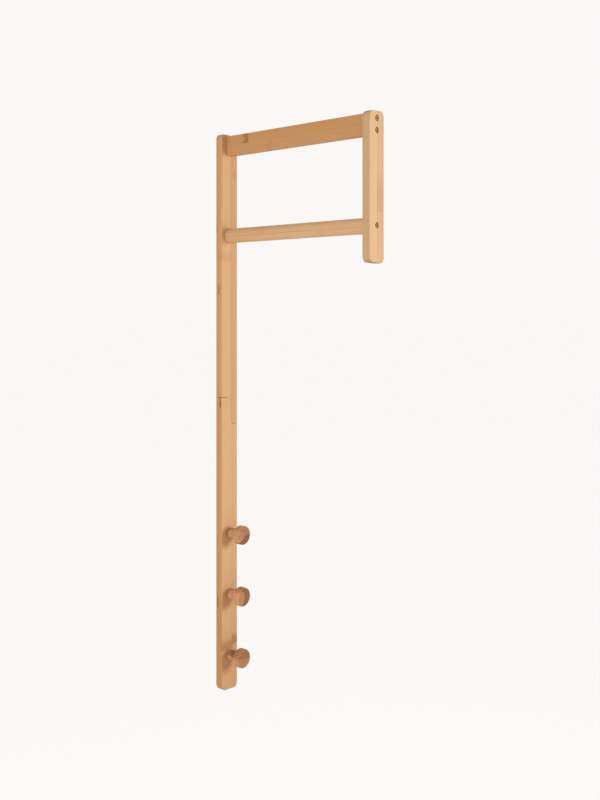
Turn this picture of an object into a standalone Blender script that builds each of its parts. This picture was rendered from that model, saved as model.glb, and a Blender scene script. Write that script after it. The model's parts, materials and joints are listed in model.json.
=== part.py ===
"""Wall coat rack in laminated bamboo, made as an assembly of separate pieces.

A tall back post in two lengths lies against the wall. An arm and a round rail
stand out from it to a short front post, and three turned knobs sit below.

Frame: +X is to the right of someone who faces the wall, +Y goes into the wall
and +Z is up. The wall is the plane Y = 0. The origin lies on that plane and on
the rack's centreline, midway between the two keyhole plates it hangs on.
All heights below are measured from the bottom of the back post.
"""

import math

import bmesh
import bpy
from mathutils import Vector

# Driving sizes of the slats, in metres
POST_WIDTH = 0.040
POST_THICKNESS = 0.015
POST_CORNER_RADIUS = 0.009
POST_EDGE_EASE = 0.0015
UPPER_POST_LENGTH = 0.522
LOWER_POST_LENGTH = 0.528
LAP_LENGTH = 0.050
LAP_LEAN = 0.010

# Driving sizes of the arm, the rail and the front post
CLEAR_SPAN = 0.305
ARM_THICKNESS = 0.015
ARM_HEIGHT = 0.035
ARM_TOP_DROP = 0.003
ARM_EDGE_RADIUS = 0.001
RAIL_DIAMETER = 0.026
RAIL_DROP = 0.182
RAIL_END_CHAMFER = 0.0005
FRONT_POST_TAIL = 0.060

# Driving sizes of the knobs
LOWEST_KNOB_HEIGHT = 0.062
KNOB_SPACING = 0.110
KNOB_STEM_DIAMETER = 0.018
KNOB_STEM_LENGTH = 0.008
KNOB_STEM_CHAMFER = 0.0015
KNOB_FLARE_LENGTH = 0.015
KNOB_HEAD_DIAMETER = 0.033
KNOB_HEAD_LENGTH = 0.013
KNOB_BACK_RADIUS = 0.001
KNOB_FRONT_RADIUS = 0.003
KNOB_CROWN = 0.0004

# Driving sizes of the socket head screws that join the frame and hold the knobs
SCREW_DIAMETER = 0.005
SCREW_HEAD_DIAMETER = 0.009
SCREW_HEAD_HEIGHT = 0.0035
SCREW_HEAD_EDGE = 0.0005
SCREW_HEAD_RECESS = 0.0022
SCREW_POINT_LENGTH = 0.004
SCREW_SOCKET_WIDTH = 0.004
SCREW_SOCKET_DEPTH = 0.002
FRAME_SCREW_BITE = 0.035
KNOB_SCREW_BITE = 0.022
ARM_SCREW_TOP_EDGE = 0.009
ARM_SCREW_BOTTOM_EDGE = 0.007

# Driving sizes of the countersunk screws across the lap
LAP_SCREW_DIAMETER = 0.0035
LAP_SCREW_HEAD_DIAMETER = 0.007
LAP_SCREW_COVER = 0.006

# Driving sizes of the keyhole plates, their pockets and their screws
PLATE_WIDTH = 0.016
PLATE_THICKNESS = 0.0015
PLATE_CORNER_RADIUS = 0.003
PLATE_END_MARGIN = 0.0065
PLATE_DROP = 0.103
KEYHOLE_ENTRY_DIAMETER = 0.010
KEYHOLE_SLOT_WIDTH = 0.005
KEYHOLE_TRAVEL = 0.010
POCKET_DEPTH = 0.008
POCKET_MARGIN = 0.0005
POCKET_WALL = 0.0055
PLATE_SCREW_DIAMETER = 0.003
PLATE_SCREW_HEAD_DIAMETER = 0.0056
PLATE_SCREW_LENGTH = 0.010

# Recess shared by the two kinds of countersunk screw, as shares of the head
CROSS_WIDTH_SHARE = 0.16
CROSS_LENGTH_SHARE = 0.62
CROSS_DEPTH_SHARE = 0.16
COUNTERSUNK_POINT_SHARE = 0.8

# Clearances
SEAT_GAP = 0.0003
HEAD_CLEARANCE = 0.0005
CUT_OVERRUN = 0.001

# Facets
CORNER_STEPS = 8
EASE_STEPS = 3
RAIL_SIDES = 40
KNOB_SIDES = 32
FLARE_STEPS = 6
ROUND_STEPS = 4
SCREW_SIDES = 16
SHARP_ANGLE = math.radians(40)
MERGE_DISTANCE = 1e-7

# Colours as linear red, green and blue
BAMBOO_FRONT = (0.80, 0.52, 0.28)
BAMBOO_BACK = (0.71, 0.43, 0.22)
BAMBOO_ARM = (0.58, 0.31, 0.14)
BAMBOO_RAIL = (0.66, 0.39, 0.19)
KNOB_WOOD = (0.50, 0.25, 0.13)
BRONZE = (0.24, 0.14, 0.07)
ZINC = (0.56, 0.56, 0.55)
BAMBOO_ROUGHNESS = 0.45
METAL_ROUGHNESS = 0.35

# Places worked out from the sizes
POST_HEIGHT = UPPER_POST_LENGTH + LOWER_POST_LENGTH - LAP_LENGTH
LAP_BOTTOM = LOWER_POST_LENGTH - LAP_LENGTH
LAP_TOP = LOWER_POST_LENGTH
BACK_POST_FRONT = -POST_THICKNESS
FRONT_POST_BACK = BACK_POST_FRONT - CLEAR_SPAN
FRONT_POST_FRONT = FRONT_POST_BACK - POST_THICKNESS
ARM_TOP = POST_HEIGHT - ARM_TOP_DROP
ARM_BOTTOM = ARM_TOP - ARM_HEIGHT
RAIL_HEIGHT = POST_HEIGHT - RAIL_DROP
FRONT_POST_BOTTOM = RAIL_HEIGHT - FRONT_POST_TAIL
KNOB_HEIGHTS = {
    "lower": LOWEST_KNOB_HEIGHT,
    "middle": LOWEST_KNOB_HEIGHT + KNOB_SPACING,
    "upper": LOWEST_KNOB_HEIGHT + 2 * KNOB_SPACING,
}
ARM_SCREW_HEIGHTS = {
    "lower": ARM_BOTTOM + ARM_SCREW_BOTTOM_EDGE,
    "upper": ARM_TOP - ARM_SCREW_TOP_EDGE,
}
LAP_SCREW_HEIGHTS = {
    "lower": LAP_BOTTOM + LAP_LENGTH / 4,
    "upper": LAP_TOP - LAP_LENGTH / 4,
}
PLATE_HEIGHTS = {
    "lower": (KNOB_HEIGHTS["middle"] + KNOB_HEIGHTS["upper"]) / 2,
    "upper": POST_HEIGHT - PLATE_DROP,
}
ORIGIN_HEIGHT = (PLATE_HEIGHTS["lower"] + PLATE_HEIGHTS["upper"]) / 2
HEAD_DEPTH = SCREW_HEAD_RECESS + SCREW_HEAD_HEIGHT
COUNTERBORE_DEPTH = HEAD_DEPTH + SEAT_GAP
POCKET_RADIUS = KEYHOLE_ENTRY_DIAMETER / 2 + POCKET_MARGIN
PLATE_SCREW_OFFSET = KEYHOLE_TRAVEL / 2 + POCKET_RADIUS + POCKET_WALL
PLATE_LENGTH = 2 * (PLATE_SCREW_OFFSET + PLATE_END_MARGIN)

# Rotations that turn a piece's own +Z axis to a side of the rack
FACING_FRONT = (math.pi / 2, 0.0, 0.0)
FACING_WALL = (-math.pi / 2, 0.0, 0.0)
FACING_RIGHT = (0.0, math.pi / 2, 0.0)


def clear_scene():
    """Remove whatever the file holds before the rack is built."""
    for old in list(bpy.data.objects):
        bpy.data.objects.remove(old, do_unlink=True)


def new_material(name, colour, roughness, metallic):
    """A plain Principled material."""
    material = bpy.data.materials.new(name)
    material.use_nodes = True
    shader = material.node_tree.nodes["Principled BSDF"]
    shader.inputs["Base Color"].default_value = (*colour, 1.0)
    shader.inputs["Roughness"].default_value = roughness
    shader.inputs["Metallic"].default_value = metallic
    material.diffuse_color = (*colour, 1.0)
    return material


def add_object(name, shape, frame):
    """Turn a bmesh into an object that is a child of the rack's frame."""
    bmesh.ops.recalc_face_normals(shape, faces=shape.faces)
    mesh = bpy.data.meshes.new(name)
    shape.to_mesh(mesh)
    shape.free()
    piece = bpy.data.objects.new(name, mesh)
    piece.parent = frame
    bpy.context.collection.objects.link(piece)
    return piece


def add_cutter(name, shape, frame):
    """A guide solid that only takes material away."""
    cutter = add_object(name, shape, frame)
    cutter.hide_render = True
    cutter.display_type = 'WIRE'
    return cutter


def carve(piece, cutters):
    """Cut every cutter out of a piece and keep the result as its mesh.

    A post has many holes in one face. The exact solver can drop a facet there
    when a length changes, and the manifold solver keeps the solid closed.
    """
    for cutter in cutters:
        cut = piece.modifiers.new(cutter.name, 'BOOLEAN')
        cut.operation = 'DIFFERENCE'
        cut.solver = 'MANIFOLD'
        cut.object = cutter
    bpy.context.view_layer.update()
    depsgraph = bpy.context.evaluated_depsgraph_get()
    whole = piece.data
    piece.data = bpy.data.meshes.new_from_object(piece.evaluated_get(depsgraph))
    piece.modifiers.clear()
    bpy.data.meshes.remove(whole)
    piece.data.name = piece.name


def finish(piece, colour, roughness, metallic=0.0):
    """Shade round faces smooth and give the piece its own material."""
    piece.data.shade_smooth()
    piece.data.set_sharp_from_angle(angle=SHARP_ANGLE)
    piece.data.materials.clear()
    piece.data.materials.append(new_material(piece.name, colour, roughness, metallic))


def arc(centre, radius, start, end, steps):
    """Points of an arc in the plane of an outline, with both ends."""
    points = []
    for step in range(steps + 1):
        angle = start + (end - start) * step / steps
        points.append((centre[0] + radius * math.cos(angle), centre[1] + radius * math.sin(angle)))
    return points


def rounded_rectangle(left, right, bottom, top, radius):
    """Outline of a rectangle with round corners, counter-clockwise."""
    quarter = math.pi / 2
    corners = (
        (right - radius, top - radius),
        (left + radius, top - radius),
        (left + radius, bottom + radius),
        (right - radius, bottom + radius),
    )
    points = []
    for turn, centre in enumerate(corners):
        points += arc(centre, radius, turn * quarter, (turn + 1) * quarter, CORNER_STEPS)
    return points


def slot_outline(low, high, radius):
    """Outline of an upright slot with round ends on the centreline."""
    upper = arc((0.0, high), radius, 0.0, math.pi, 2 * CORNER_STEPS)
    lower = arc((0.0, low), radius, math.pi, 2 * math.pi, 2 * CORNER_STEPS)
    return upper + lower


def keyhole_outline(low, high, entry_radius, slot_radius):
    """Outline of a round entry hole with a narrow slot above it."""
    mouth = math.acos(slot_radius / entry_radius)
    entry = arc((0.0, low), entry_radius, math.pi - mouth, 2 * math.pi + mouth, 3 * CORNER_STEPS)
    slot = arc((0.0, high), slot_radius, 0.0, math.pi, 2 * CORNER_STEPS)
    return entry + slot


def prism(outline, front, back, ease=0.0):
    """Extrude an outline of X and Z points along Y, with eased end edges."""
    shape = bmesh.new()
    rim = [shape.verts.new((x, front, z)) for x, z in outline]
    bmesh.ops.remove_doubles(shape, verts=rim, dist=MERGE_DISTANCE)
    face = shape.faces.new(shape.verts[:])
    swept = bmesh.ops.extrude_face_region(shape, geom=[face], use_keep_orig=True)
    moved = [item for item in swept["geom"] if isinstance(item, bmesh.types.BMVert)]
    bmesh.ops.translate(shape, verts=moved, vec=(0.0, back - front, 0.0))
    if ease:
        rims = [edge for edge in shape.edges if edge.verts[0].co.y == edge.verts[1].co.y]
        bmesh.ops.bevel(shape, geom=rims, offset=ease, segments=EASE_STEPS, profile=0.5, affect='EDGES')
    return shape


def box(low, high):
    """A plain block between two corners."""
    shape = bmesh.new()
    bmesh.ops.create_cube(shape, size=1.0)
    low = Vector(low)
    high = Vector(high)
    bmesh.ops.scale(shape, verts=shape.verts, vec=high - low)
    bmesh.ops.translate(shape, verts=shape.verts, vec=(low + high) / 2)
    return shape


def turned(profile, sides):
    """Turn an outline of radius and height about the Z axis, from pole to pole.

    The first corner lies half a facet round, so flats and not corners face the sides.
    """
    shape = bmesh.new()
    start = Vector((math.cos(math.pi / sides), math.sin(math.pi / sides), 0.0))
    rise = Vector((0.0, 0.0, 1.0))
    points = [shape.verts.new(radius * start + height * rise) for radius, height in profile]
    edges = [shape.edges.new(pair) for pair in zip(points, points[1:])]
    bmesh.ops.spin(
        shape,
        geom=points + edges,
        axis=(0.0, 0.0, 1.0),
        cent=(0.0, 0.0, 0.0),
        angle=2 * math.pi,
        steps=sides,
    )
    bmesh.ops.remove_doubles(shape, verts=shape.verts, dist=MERGE_DISTANCE)
    return shape


def post_shape(bottom, top, front, back):
    """A slat with round corners at both ends and eased edges all round."""
    half = POST_WIDTH / 2
    outline = rounded_rectangle(-half, half, bottom, top, POST_CORNER_RADIUS)
    return prism(outline, front, back, POST_EDGE_EASE)


def lap_cutter(name, side, frame):
    """What the other length takes from the back post, on either side of the lap.

    The right half of the lap belongs to the upper length and the left half to
    the lower one. The cheek between them leans to the right as it goes down, so
    each half is wider at its root than at its end. Side is 1 for the upper
    length's cutter, -1 for the lower's.
    """
    past = POST_WIDTH / 2 + CUT_OVERRUN
    front = BACK_POST_FRONT - CUT_OVERRUN
    half_gap = SEAT_GAP / 2
    end = -CUT_OVERRUN if side > 0 else POST_HEIGHT + CUT_OVERRUN
    tongue_end = (LAP_BOTTOM if side > 0 else LAP_TOP) + side * half_gap
    shoulder = (LAP_TOP if side > 0 else LAP_BOTTOM) + side * half_gap
    end_cheek = side * (half_gap + LAP_LEAN / 2)
    root_cheek = side * (half_gap - LAP_LEAN / 2)
    outline = [
        (-side * past, end),
        (side * past, end),
        (side * past, tongue_end),
        (end_cheek, tongue_end),
        (root_cheek, shoulder),
        (-side * past, shoulder),
    ]
    return add_cutter(name, prism(outline, front, CUT_OVERRUN), frame)


def build_posts(frame):
    """The two lengths of the back post and the front post."""
    upper = add_object("back_post_upper", post_shape(0.0, POST_HEIGHT, BACK_POST_FRONT, 0.0), frame)
    carve(upper, [lap_cutter("lap_below", 1, frame)])
    lower = add_object("back_post_lower", post_shape(0.0, POST_HEIGHT, BACK_POST_FRONT, 0.0), frame)
    carve(lower, [lap_cutter("lap_above", -1, frame)])
    short = post_shape(FRONT_POST_BOTTOM, POST_HEIGHT, FRONT_POST_FRONT, FRONT_POST_BACK)
    front = add_object("front_post", short, frame)
    return upper, lower, front


def build_arm(frame):
    """The board on edge between the two posts."""
    half = ARM_THICKNESS / 2
    outline = rounded_rectangle(-half, half, ARM_BOTTOM, ARM_TOP, ARM_EDGE_RADIUS)
    shape = prism(outline, FRONT_POST_BACK + SEAT_GAP, BACK_POST_FRONT - SEAT_GAP)
    return add_object("arm", shape, frame)


def build_rail(frame):
    """The round rail between the two posts, turned about its own axis."""
    radius = RAIL_DIAMETER / 2
    length = CLEAR_SPAN - 2 * SEAT_GAP
    profile = [
        (0.0, 0.0),
        (radius - RAIL_END_CHAMFER, 0.0),
        (radius, RAIL_END_CHAMFER),
        (radius, length - RAIL_END_CHAMFER),
        (radius - RAIL_END_CHAMFER, length),
        (0.0, length),
    ]
    rail = add_object("hanging_rail", turned(profile, RAIL_SIDES), frame)
    rail.location = (0.0, BACK_POST_FRONT - SEAT_GAP, RAIL_HEIGHT)
    rail.rotation_euler = FACING_FRONT
    return rail


def knob_profile():
    """Radius and height of a knob, from the post's face to its crown."""
    stem = KNOB_STEM_DIAMETER / 2
    head = KNOB_HEAD_DIAMETER / 2
    flare_end = KNOB_STEM_LENGTH + KNOB_FLARE_LENGTH
    front = flare_end + KNOB_HEAD_LENGTH
    points = [
        (0.0, SEAT_GAP),
        (stem - KNOB_STEM_CHAMFER, SEAT_GAP),
        (stem, SEAT_GAP + KNOB_STEM_CHAMFER),
    ]
    for step in range(FLARE_STEPS + 1):
        share = step / FLARE_STEPS
        widening = 1.0 - math.cos(share * math.pi / 2)
        radius = stem + (head - KNOB_BACK_RADIUS - stem) * widening
        points.append((radius, KNOB_STEM_LENGTH + KNOB_FLARE_LENGTH * share))
    points.append((head, flare_end + KNOB_BACK_RADIUS))
    edge_centre = (head - KNOB_FRONT_RADIUS, front - KNOB_FRONT_RADIUS)
    points += arc(edge_centre, KNOB_FRONT_RADIUS, 0.0, math.pi / 2, ROUND_STEPS)
    points.append((0.0, front + KNOB_CROWN))
    return points


def build_knobs(frame):
    """Three turned knobs on the front of the lower length, by name."""
    knobs = {}
    for name, height in KNOB_HEIGHTS.items():
        knob = add_object("knob_" + name, turned(knob_profile(), KNOB_SIDES), frame)
        knob.location = (0.0, BACK_POST_FRONT, height)
        knob.rotation_euler = FACING_FRONT
        knobs[name] = knob
    return knobs


def place(item, position, facing):
    """Set a fastener or its cutter on the face that it is driven from."""
    item.location = position
    item.rotation_euler = facing


def socket_screw(name, position, facing, length, pieces, frame):
    """A socket head screw sunk in a counterbore, with its hole through the pieces.

    The position is on the face that it is driven from. The length is counted
    from that face to the screw's point.
    """
    head = SCREW_HEAD_DIAMETER / 2
    shank = SCREW_DIAMETER / 2
    top = -SCREW_HEAD_RECESS
    profile = [
        (0.0, top),
        (head - SCREW_HEAD_EDGE, top),
        (head, top - SCREW_HEAD_EDGE),
        (head, -HEAD_DEPTH),
        (shank, -HEAD_DEPTH),
        (shank, SCREW_POINT_LENGTH - length),
        (0.0, -length),
    ]
    screw = add_object(name, turned(profile, SCREW_SIDES), frame)
    place(screw, position, facing)
    socket_radius = SCREW_SOCKET_WIDTH / math.sqrt(3)
    socket = [
        (0.0, top + CUT_OVERRUN),
        (socket_radius, top + CUT_OVERRUN),
        (socket_radius, top - SCREW_SOCKET_DEPTH),
        (0.0, top - SCREW_SOCKET_DEPTH),
    ]
    key = add_cutter(name + "_socket", turned(socket, 6), frame)
    place(key, position, facing)
    carve(screw, [key])
    bore = head + HEAD_CLEARANCE
    pilot = shank + SEAT_GAP
    hole = [
        (0.0, CUT_OVERRUN),
        (bore, CUT_OVERRUN),
        (bore, -COUNTERBORE_DEPTH),
        (pilot, -COUNTERBORE_DEPTH),
        (pilot, -length - SEAT_GAP),
        (0.0, -length - SEAT_GAP),
    ]
    drill = add_cutter(name + "_hole", turned(hole, SCREW_SIDES), frame)
    place(drill, position, facing)
    for piece in pieces:
        carve(piece, [drill])
    return screw


def countersunk_screw(name, position, facing, sizes, pieces, frame):
    """A flush countersunk screw with a cross recess, and its hole through the pieces.

    The sizes are the shank's diameter, the head's diameter and the whole length.
    """
    shank = sizes[0] / 2
    head = sizes[1] / 2
    length = sizes[2]
    cone = head - shank
    point = sizes[0] * COUNTERSUNK_POINT_SHARE
    profile = [(0.0, 0.0), (head, 0.0), (shank, -cone), (shank, point - length), (0.0, -length)]
    screw = add_object(name, turned(profile, SCREW_SIDES), frame)
    place(screw, position, facing)
    narrow = sizes[1] * CROSS_WIDTH_SHARE / 2
    wide = sizes[1] * CROSS_LENGTH_SHARE / 2
    deep = sizes[1] * CROSS_DEPTH_SHARE
    bars = []
    for index, (across, along) in enumerate(((narrow, wide), (wide, narrow))):
        bar = box((-across, -along, -deep), (across, along, CUT_OVERRUN))
        cutter = add_cutter(f"{name}_cross_{index}", bar, frame)
        place(cutter, position, facing)
        bars.append(cutter)
    carve(screw, bars)
    hole = [
        (0.0, CUT_OVERRUN),
        (head + SEAT_GAP + CUT_OVERRUN, CUT_OVERRUN),
        (shank + SEAT_GAP, -cone),
        (shank + SEAT_GAP, -length - SEAT_GAP),
        (0.0, -length - SEAT_GAP),
    ]
    drill = add_cutter(name + "_hole", turned(hole, SCREW_SIDES), frame)
    place(drill, position, facing)
    for piece in pieces:
        carve(piece, [drill])
    return screw


def build_frame_screws(arm, rail, upper, front, frame):
    """Screws through both posts into the ends of the arm and the rail."""
    length = POST_THICKNESS + SEAT_GAP + FRAME_SCREW_BITE
    joints = [("rail", "", RAIL_HEIGHT, rail)]
    for name, height in ARM_SCREW_HEIGHTS.items():
        joints.append(("arm", "_" + name, height, arm))
    screws = []
    for member, suffix, height, piece in joints:
        at_front = (0.0, FRONT_POST_FRONT, height)
        at_wall = (0.0, 0.0, height)
        front_name = f"{member}_front_screw{suffix}"
        rear_name = f"{member}_rear_screw{suffix}"
        screws.append(socket_screw(front_name, at_front, FACING_FRONT, length, (front, piece), frame))
        screws.append(socket_screw(rear_name, at_wall, FACING_WALL, length, (upper, piece), frame))
    return screws


def build_knob_screws(knobs, lower, frame):
    """One screw from behind the lower length into each knob."""
    length = POST_THICKNESS + SEAT_GAP + KNOB_SCREW_BITE
    screws = []
    for name, knob in knobs.items():
        at_wall = (0.0, 0.0, KNOB_HEIGHTS[name])
        screws.append(socket_screw("knob_screw_" + name, at_wall, FACING_WALL, length, (lower, knob), frame))
    return screws


def build_lap_screws(upper, lower, frame):
    """Two screws across the lap, driven from the right edge of the back post."""
    sizes = (LAP_SCREW_DIAMETER, LAP_SCREW_HEAD_DIAMETER, POST_WIDTH - LAP_SCREW_COVER)
    screws = []
    for name, height in LAP_SCREW_HEIGHTS.items():
        at_edge = (POST_WIDTH / 2, BACK_POST_FRONT / 2, height)
        screw_name = "lap_screw_" + name
        screws.append(countersunk_screw(screw_name, at_edge, FACING_RIGHT, sizes, (upper, lower), frame))
    return screws


def build_keyhole_plate(name, post, frame):
    """A keyhole plate let into the back of a post, with its pocket and two screws."""
    height = PLATE_HEIGHTS[name]
    low = height - KEYHOLE_TRAVEL / 2
    high = height + KEYHOLE_TRAVEL / 2
    half = PLATE_WIDTH / 2
    bottom = height - PLATE_LENGTH / 2
    top = height + PLATE_LENGTH / 2
    outline = rounded_rectangle(-half, half, bottom, top, PLATE_CORNER_RADIUS)
    plate = add_object("keyhole_plate_" + name, prism(outline, -PLATE_THICKNESS, 0.0), frame)
    keyhole = keyhole_outline(low, high, KEYHOLE_ENTRY_DIAMETER / 2, KEYHOLE_SLOT_WIDTH / 2)
    through = prism(keyhole, -PLATE_THICKNESS - CUT_OVERRUN, CUT_OVERRUN)
    carve(plate, [add_cutter(plate.name + "_slot", through, frame)])
    seat = rounded_rectangle(
        -half - SEAT_GAP,
        half + SEAT_GAP,
        bottom - SEAT_GAP,
        top + SEAT_GAP,
        PLATE_CORNER_RADIUS + SEAT_GAP,
    )
    recess = add_cutter(plate.name + "_recess", prism(seat, -PLATE_THICKNESS - SEAT_GAP, CUT_OVERRUN), frame)
    hollow = prism(slot_outline(low, high, POCKET_RADIUS), -POCKET_DEPTH, CUT_OVERRUN)
    pocket = add_cutter(plate.name + "_pocket", hollow, frame)
    carve(post, [recess, pocket])
    sizes = (PLATE_SCREW_DIAMETER, PLATE_SCREW_HEAD_DIAMETER, PLATE_SCREW_LENGTH)
    screws = []
    for end, side in (("top", 1), ("bottom", -1)):
        at_wall = (0.0, 0.0, height + side * PLATE_SCREW_OFFSET)
        screw_name = f"plate_screw_{name}_{end}"
        screws.append(countersunk_screw(screw_name, at_wall, FACING_WALL, sizes, (plate, post), frame))
    return plate, screws


def main():
    """Build every piece of the rack."""
    clear_scene()
    frame = bpy.data.objects.new("rack_frame", None)
    bpy.context.collection.objects.link(frame)
    frame.location = (0.0, 0.0, -ORIGIN_HEIGHT)

    upper, lower, front = build_posts(frame)
    arm = build_arm(frame)
    rail = build_rail(frame)
    knobs = build_knobs(frame)
    bronze_screws = build_frame_screws(arm, rail, upper, front, frame)
    bronze_screws += build_knob_screws(knobs, lower, frame)
    zinc_pieces = build_lap_screws(upper, lower, frame)
    for name, post in (("upper", upper), ("lower", lower)):
        plate, screws = build_keyhole_plate(name, post, frame)
        zinc_pieces += [plate, *screws]

    for post in (upper, lower):
        finish(post, BAMBOO_BACK, BAMBOO_ROUGHNESS)
    finish(front, BAMBOO_FRONT, BAMBOO_ROUGHNESS)
    finish(arm, BAMBOO_ARM, BAMBOO_ROUGHNESS)
    finish(rail, BAMBOO_RAIL, BAMBOO_ROUGHNESS)
    for knob in knobs.values():
        finish(knob, KNOB_WOOD, BAMBOO_ROUGHNESS)
    for screw in bronze_screws:
        finish(screw, BRONZE, METAL_ROUGHNESS, metallic=1.0)
    for piece in zinc_pieces:
        finish(piece, ZINC, METAL_ROUGHNESS, metallic=1.0)


main()
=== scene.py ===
"""Looks of a wall coat rack in laminated bamboo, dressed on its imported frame.

Every solid of the frame gets a finer mesh in the same place, and a procedural material. The rack hangs in
a pale studio, with a soft key light at its front right, a fill light at its left and even warm light from
all round. The camera stands where the photograph was taken from. Shapes are in metres, in the frame's own
axes. Patterns in the wood and the metal are in millimetres.
"""

import json
import math

import bmesh
import bpy
from mathutils import Matrix, Vector


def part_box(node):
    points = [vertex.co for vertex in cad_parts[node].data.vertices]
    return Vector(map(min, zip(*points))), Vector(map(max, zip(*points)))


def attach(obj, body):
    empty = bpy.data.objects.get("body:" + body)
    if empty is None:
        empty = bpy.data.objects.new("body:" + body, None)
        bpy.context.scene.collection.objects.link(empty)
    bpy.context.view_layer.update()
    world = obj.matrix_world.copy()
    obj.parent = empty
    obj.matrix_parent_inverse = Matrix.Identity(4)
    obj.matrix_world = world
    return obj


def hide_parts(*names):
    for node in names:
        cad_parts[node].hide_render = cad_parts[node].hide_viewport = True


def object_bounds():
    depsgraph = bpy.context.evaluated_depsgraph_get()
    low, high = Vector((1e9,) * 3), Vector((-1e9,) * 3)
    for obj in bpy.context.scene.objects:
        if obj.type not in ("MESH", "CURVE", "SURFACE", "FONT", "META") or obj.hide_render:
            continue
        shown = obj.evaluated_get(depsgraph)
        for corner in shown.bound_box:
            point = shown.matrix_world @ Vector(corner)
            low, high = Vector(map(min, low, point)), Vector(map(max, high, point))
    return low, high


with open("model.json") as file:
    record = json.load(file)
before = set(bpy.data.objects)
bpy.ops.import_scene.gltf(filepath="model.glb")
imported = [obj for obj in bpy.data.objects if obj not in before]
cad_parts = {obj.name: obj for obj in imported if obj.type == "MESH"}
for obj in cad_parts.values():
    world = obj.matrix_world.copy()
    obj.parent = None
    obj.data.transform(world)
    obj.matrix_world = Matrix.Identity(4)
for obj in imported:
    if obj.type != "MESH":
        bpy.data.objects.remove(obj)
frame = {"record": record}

CAD_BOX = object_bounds()

# Camera, solved from the straight edges in the photograph
IMAGE_HEIGHT = 800
FOCAL_LENGTH_PIXELS = 901.14
HORIZON_ROW = 313.18
CAMERA_PLACE = (-1.1884, -1.1361, 0.1166)
CAMERA_HEADING = -51.128
SENSOR_WIDTH = 36.0

# Studio: the floor lies a usual hanging height below the rack
FLOOR_DROP = 0.9
FLOOR_HALF = 400.0
FLOOR_COLOUR = (0.86, 0.845, 0.83, 1.0)
FLOOR_BOUNCE = (0.188, 0.173, 0.135, 1.0)
AMBIENT_COLOUR = (1.0, 0.895, 0.61, 1.0)
AMBIENT_STRENGTH = 0.372
KEY_LIGHT = {
    "place": (0.66, -2.0, 0.21),
    "aim": (0.0, -0.10, -0.05),
    "size": 0.75,
    "power": 25.8,
    "colour": (0.842, 0.89, 1.0),
}
FILL_LIGHT = {
    "place": (-2.4, -0.35, 0.3),
    "aim": (0.0, -0.15, -0.05),
    "size": 1.2,
    "power": 25.4,
    "colour": (0.725, 0.785, 1.0),
}

# What shows behind the rack, kept separate from the light that reaches it
BACKDROP = (0.956, 0.939, 0.922, 1.0)
FLOOR_SHADED_COLOUR = (0.150, 0.110, 0.080, 1.0)
FLOOR_GLOW = (0.8955, 0.897, 0.8975, 1.0)

# Ends of the slats, left and right: each corner's radius, and how far it stops short of the frame's end
POST_TOP = {"radii": (0.0075, 0.009), "short": (0.0, 0.0)}
POST_FOOT = {"radii": (0.012, 0.0075), "short": (0.0, -0.0015)}
FRONT_TOP = {"radii": (0.0105, 0.009), "short": (0.0010, -0.0006)}
FRONT_TAIL = {"radii": (0.009, 0.009), "short": (0.001, 0.0)}

# Slats, arm and rail
POST_EASE = 0.0015
ARM_CORNER = 0.001
ARM_END_EASE = 0.0004
RAIL_END_EASE = 0.0005

# Half lap: its cheek leans, its shoulders are out of level, and its edges are finer than the slats' own
LAP_LEAN = 0.010
LAP_SLANT = 0.0012
SEAM_EASE = 0.0002
SEAM_GAP = 0.0001

# The lap's shoulders stand open at the front: how wide, at the left and the right end of each, and how deep
OPEN_TOP_SEAM = (0.0008, 0.0003)
OPEN_FOOT_SEAM = (0.0005, 0.0004)
OPEN_SEAM_DEPTH = 0.0095

# Knobs, from the post outwards, with how far the head's back edge turns in degrees
KNOB_STEM_RADIUS = 0.009
KNOB_STEM_LENGTH = 0.008
KNOB_STEM_CHAMFER = 0.0015
KNOB_HEAD_RADIUS = 0.0165
KNOB_HEAD_LENGTH = 0.013
KNOB_BACK_ROUND = 0.001
KNOB_BACK_TURN = -60
KNOB_FRONT_ROUND = 0.003
KNOB_CROWN = 0.0004

# Socket head screws
HEAD_RADIUS = 0.0045
HEAD_HEIGHT = 0.0035
HEAD_EDGE = 0.0005
HEAD_RECESS = 0.0022
SHANK_RADIUS = 0.0025
SOCKET_WIDTH = 0.004
SOCKET_DEPTH = 0.002
SOCKET_SIDES = 6
SOCKET_CONE_SHARE = 1 / 3
SOCKET_CHAMFER = 0.0003
BORE_RADIUS = 0.005
MOUTH_CHAMFER = 0.0003

# Countersunk screws, as shank and head radius, and their heads, as shares of the head's radius
LAP_SCREW_RADII = (0.00175, 0.0035)
PLATE_SCREW_RADII = (0.0015, 0.0028)
LAND_SHARE = 1 / 12
CROSS_LENGTH_SHARE = 0.62
CROSS_WIDTH_SHARE = 0.17
CROSS_DEPTH_SHARE = 0.45
CROSS_FLOOR_SHARE = 0.35

# Threads, as shares of the shank's radius
THREAD_PITCH_SHARE = 0.75
THREAD_DEPTH_SHARE = 0.24
POINT_LENGTH_SHARE = 1.6
PLAIN_LENGTH_SHARE = 1.2

# Keyhole plates and their pockets
PLATE_CORNER = 0.003
PLATE_EASE = 0.0003
KEYHOLE_ENTRY_RADIUS = 0.005
KEYHOLE_SLOT_RADIUS = 0.0025
KEYHOLE_TRAVEL = 0.010
POCKET_RADIUS = 0.0055
POCKET_DEPTH = 0.008

# Clearances and fineness
FIT_GAP = 0.0003
OVERRUN = 0.001
WELD = 0.000001
ARC_STEPS = 14
EASE_STEPS = 4
FLARE_STEPS = 18
ROUND_SIDES = 96
SCREW_SIDES = 32
RINGS_PER_TURN = 8
POINT_RINGS = 16
ROUND_PROFILE = 0.5
SHARP_ANGLE = math.radians(38)
ALIGNED = 0.97

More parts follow.
